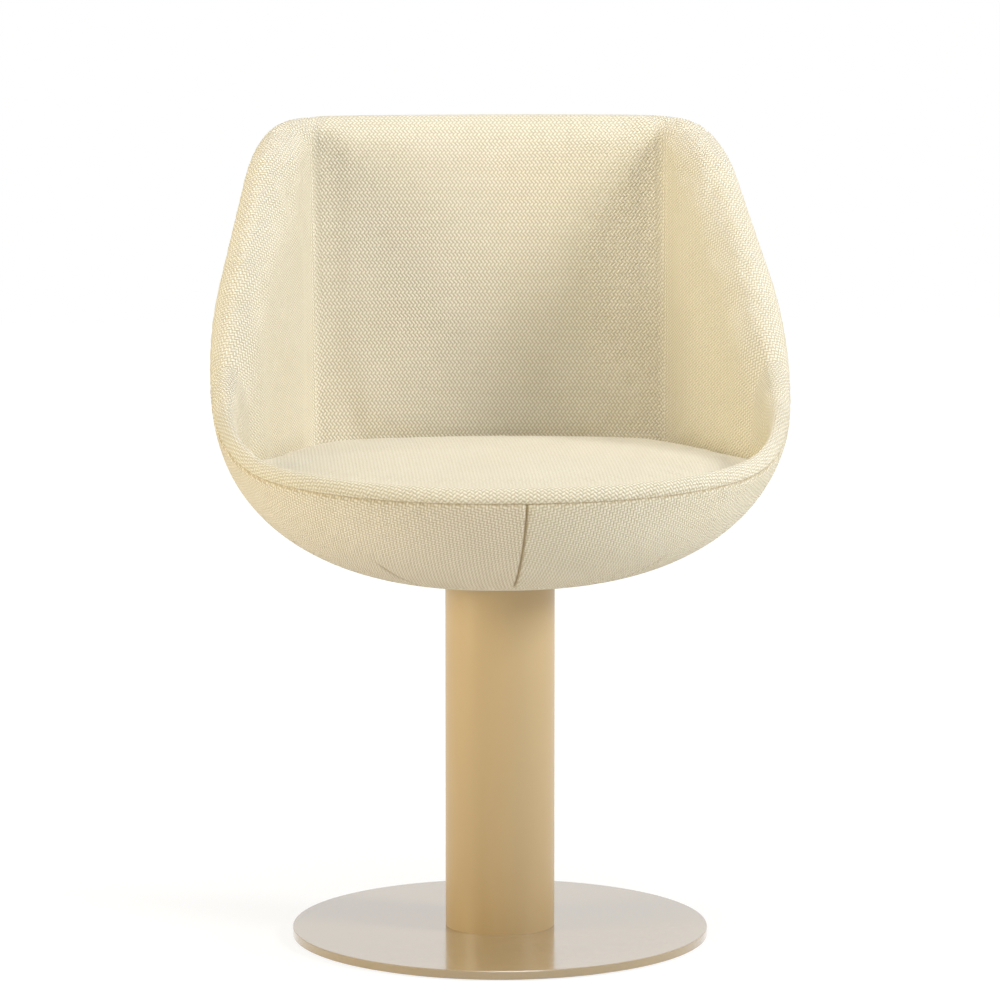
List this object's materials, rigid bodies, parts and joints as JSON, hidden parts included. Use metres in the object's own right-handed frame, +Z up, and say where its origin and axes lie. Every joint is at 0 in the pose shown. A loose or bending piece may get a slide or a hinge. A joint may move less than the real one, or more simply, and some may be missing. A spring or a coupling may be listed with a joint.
{
  "type": "pedestal swivel armchair",
  "caption": "Upholstered tub armchair with a rolled, sloping rim, turning on a round painted metal column with a flat disc base.",
  "frame": {"origin": "centre of the underside of the base, on the floor", "axes": "+Z up along the column; +Y towards the chair's back; +X towards the sitter's left"},
  "size_m": [0.567, 0.5414, 0.798],
  "materials": {
    "beige_paint": "satin",
    "bare_steel": "machined",
    "zinc_steel": "zinc plated",
    "bearing_plastic": "matte",
    "felt": "matte",
    "plywood": "raw",
    "shell_plastic": "matte",
    "upholstery_light": "basket weave",
    "upholstery_dark": "basket weave"
  },
  "bodies": {
    "pedestal": {"base_glide": "felt", "base_plate": "beige_paint", "base_bolts": "zinc_steel", "column_foot": "bare_steel", "column_tube": "beige_paint", "column_head": "bare_steel", "bearing_tube": "bare_steel", "upper_bush": "bearing_plastic", "lower_bush": "bearing_plastic", "thrust_washer": "bearing_plastic"},
    "seat": {"spindle": "bare_steel", "retaining_washer": "bare_steel", "retaining_ring": "bare_steel", "swivel_plate": "bare_steel", "plate_bolts": "zinc_steel", "plate_washers": "zinc_steel", "tee_nuts": "zinc_steel", "seat_board": "plywood", "shell": "shell_plastic", "bottom_cover": "upholstery_light", "outer_cover_right": "upholstery_light", "outer_cover_left": "upholstery_dark", "arm_back_pad": "upholstery_light", "seat_cushion": "upholstery_light"}
  },
  "joints": [
    {"name": "swivel", "type": "hinge", "parent": "pedestal", "child": "seat", "pos_m": [0, 0, 0.37], "axis": [0, 0, 1], "continuous": true}
  ]
}
